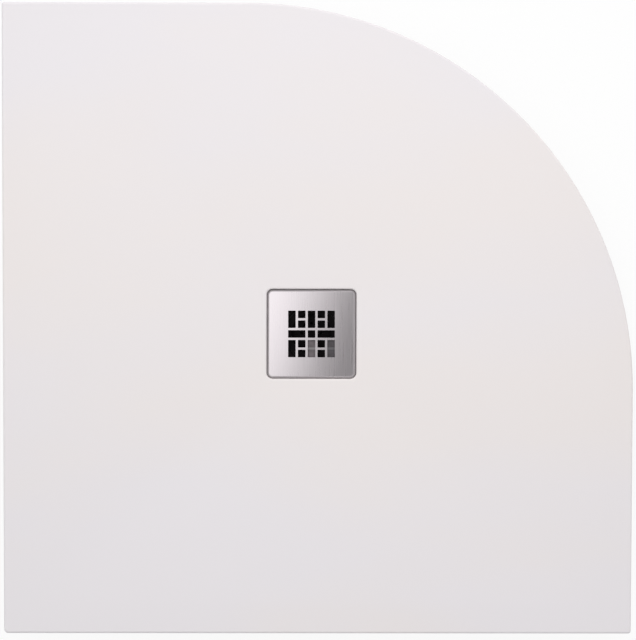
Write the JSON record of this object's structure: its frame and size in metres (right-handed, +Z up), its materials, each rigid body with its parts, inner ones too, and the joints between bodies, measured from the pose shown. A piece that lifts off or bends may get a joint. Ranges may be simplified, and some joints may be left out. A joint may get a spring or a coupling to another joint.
{
  "type": "shower tray",
  "caption": "Extra-flat quadrant shower tray cast in white mineral resin, with a square slotted steel grate and the low waste trap that hangs beneath its drain.",
  "frame": {"origin": "on the drain's axis, in the plane of the tray's underside that beds on the floor; the trap hangs below it in a pocket of that floor", "axes": "+Z up; +X and +Y run along the two straight wall edges, away from the walls' corner, so the square corner is at -X -Y, the round front at +X +Y, and the trap's outlet points to -X"},
  "size_m": [0.9, 0.9, 0.1164],
  "materials": {
    "mineral_resin": "matte white gelcoat, near smooth",
    "brushed_stainless": "fine brushed",
    "black_plastic": "moulded, satin",
    "pale_plastic": "moulded, satin",
    "trap_plastic": "moulded polypropylene, satin",
    "black_rubber": "matte"
  },
  "bodies": {
    "tray": {"tray_body": "mineral_resin", "upper_gasket": "black_rubber", "lower_gasket": "black_rubber", "waste_flange": "black_plastic", "trap_collar": "trap_plastic", "trap_bowl": "trap_plastic", "trap_floor": "trap_plastic", "outlet_socket": "trap_plastic", "ball_seal": "black_rubber"},
    "grate": {"grate_plate": "brushed_stainless", "grate_pads": "black_rubber"},
    "strainer": {"hair_strainer": "black_plastic", "strainer_tabs": "pale_plastic"},
    "insert": {"dip_tube": "black_plastic", "insert_ring": "black_rubber", "seal_cup": "black_plastic"},
    "outlet": {"outlet_tail": "trap_plastic", "pipe_seal": "black_rubber", "pipe_washer": "trap_plastic"},
    "ball_nut": {"ball_nut": "black_plastic"},
    "pipe_nut": {"pipe_nut": "black_plastic"}
  },
  "joints": [
    {"name": "grate_lift", "type": "slide", "parent": "tray", "child": "grate", "axis": [0, 0, 1], "range_m": [0, 0.27]},
    {"name": "strainer_lift", "type": "slide", "parent": "tray", "child": "strainer", "axis": [0, 0, 1], "range_m": [0, 0.162]},
    {"name": "insert_lift", "type": "slide", "parent": "tray", "child": "insert", "axis": [0, 0, 1], "range_m": [0, 0.108]},
    {"name": "outlet_swing", "type": "hinge", "parent": "tray", "child": "outlet", "pos_m": [-0.082, 0, -0.051], "axis": [0, 0, 1], "range_deg": [-10, 10]},
    {"name": "ball_nut_turn", "type": "hinge", "parent": "tray", "child": "ball_nut", "pos_m": [-0.082, 0, -0.051], "axis": [-1, 0, 0], "range_deg": [0, 90]},
    {"name": "pipe_nut_turn", "type": "hinge", "parent": "outlet", "child": "pipe_nut", "pos_m": [-0.122, 0, -0.051], "axis": [-1, 0, 0], "range_deg": [0, 90]}
  ],
  "couplings": [
    {"joint": "strainer_lift", "follows": "grate_lift", "ratio": 0.6},
    {"joint": "insert_lift", "follows": "grate_lift", "ratio": 0.4}
  ]
}
